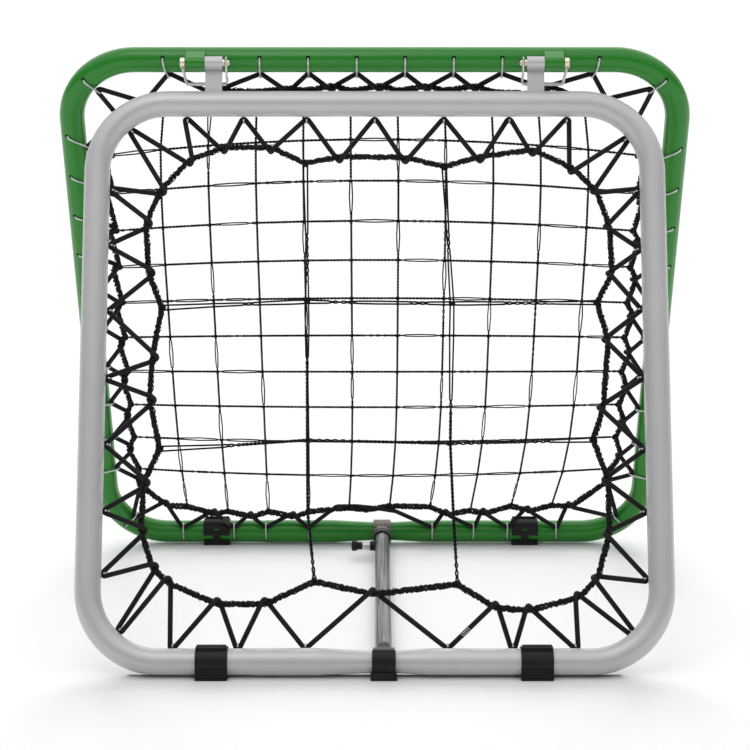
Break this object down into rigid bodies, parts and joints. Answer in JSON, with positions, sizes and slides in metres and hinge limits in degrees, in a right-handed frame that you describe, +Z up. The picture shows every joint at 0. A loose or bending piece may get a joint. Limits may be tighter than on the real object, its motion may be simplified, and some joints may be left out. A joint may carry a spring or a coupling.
{
  "type": "pitch back rebounder",
  "caption": "Two-sided ball rebounder: a silver and a green tube hoop with laced nets, hinged at the top and held apart by a telescopic strut.",
  "frame": {"origin": "on the floor, under the middle of the stance between the front and rear feet", "axes": "+Z up, +X to the right seen from the silver hoop's side, -Y towards the player at the silver hoop"},
  "size_m": [0.75, 0.6078, 0.6807],
  "materials": {
    "silver_paint": "satin silver-grey powder coat",
    "green_paint": "glossy green powder coat",
    "black_cord": "braided black cord",
    "black_bungee": "black braided sleeve over an elastic core",
    "black_plastic": "moulded black",
    "zinc": "yellowish zinc plating",
    "chrome": "polished chrome",
    "steel": "bright drawn steel",
    "bare_metal": "dull grey plated strap"
  },
  "bodies": {
    "front_frame": {"front_hoop": "silver_paint", "front_hinge_strap_left": "silver_paint", "front_hinge_strap_right": "silver_paint", "front_foot_left": "black_plastic", "front_foot_right": "black_plastic", "front_hooks": "steel", "front_net": "black_cord", "front_border_rope": "black_cord", "front_bungee": "black_bungee", "front_bungee_crimp": "steel"},
    "rear_frame": {"rear_hoop": "green_paint", "rear_hinge_barrel_left": "green_paint", "rear_hinge_barrel_right": "green_paint", "rear_foot_left": "black_plastic", "rear_foot_right": "black_plastic", "rear_hooks": "steel", "rear_net": "black_cord", "rear_border_rope": "black_cord", "rear_bungee": "black_bungee", "rear_bungee_crimp": "steel"},
    "strut_outer": {"front_strut_strap": "bare_metal", "front_strap_pad": "black_plastic", "front_strap_rivet": "steel", "strut_outer_tube": "chrome", "strut_bush": "black_plastic", "plunger_base": "black_plastic", "plunger_barrel": "steel"},
    "strut_inner": {"strut_inner_tube": "steel", "rear_strut_strap": "bare_metal", "rear_strap_rivet": "steel"},
    "plunger": {"plunger_pin": "steel", "plunger_knob": "black_plastic"},
    "pin_left": {"hinge_pin_left": "zinc", "pin_bail_left": "steel"},
    "pin_right": {"hinge_pin_right": "zinc", "pin_bail_right": "steel"}
  },
  "joints": [
    {"name": "fold", "type": "hinge", "parent": "front_frame", "child": "rear_frame", "pos_m": [0, -0.04872, 0.66297], "axis": [1, 0, 0], "range_deg": [0, 10.8]},
    {"name": "strut_swing", "type": "hinge", "parent": "front_frame", "child": "strut_outer", "pos_m": [0.01, -0.28563, 0.0165], "axis": [1, 0, 0], "range_deg": [0, 6.2]},
    {"name": "strut_extend", "type": "slide", "parent": "strut_outer", "child": "strut_inner", "axis": [0, 1, 0], "range_m": [0, 0.12]},
    {"name": "plunger_pull", "type": "slide", "parent": "strut_outer", "child": "plunger", "axis": [-1, 0, 0], "range_m": [0, 0.007], "stiffness_N_per_m": 500, "springref_m": -0.006},
    {"name": "pin_turn_left", "type": "hinge", "parent": "front_frame", "child": "pin_left", "pos_m": [-0.2, -0.04872, 0.66297], "axis": [1, 0, 0], "range_deg": [0, 18]},
    {"name": "pin_turn_right", "type": "hinge", "parent": "front_frame", "child": "pin_right", "pos_m": [0.2, -0.04872, 0.66297], "axis": [1, 0, 0], "range_deg": [0, 18]}
  ],
  "couplings": [
    {"joint": "strut_swing", "follows": "fold", "ratio": 0.57149},
    {"joint": "strut_extend", "follows": "fold", "m_per_rad": 0.6351}
  ]
}
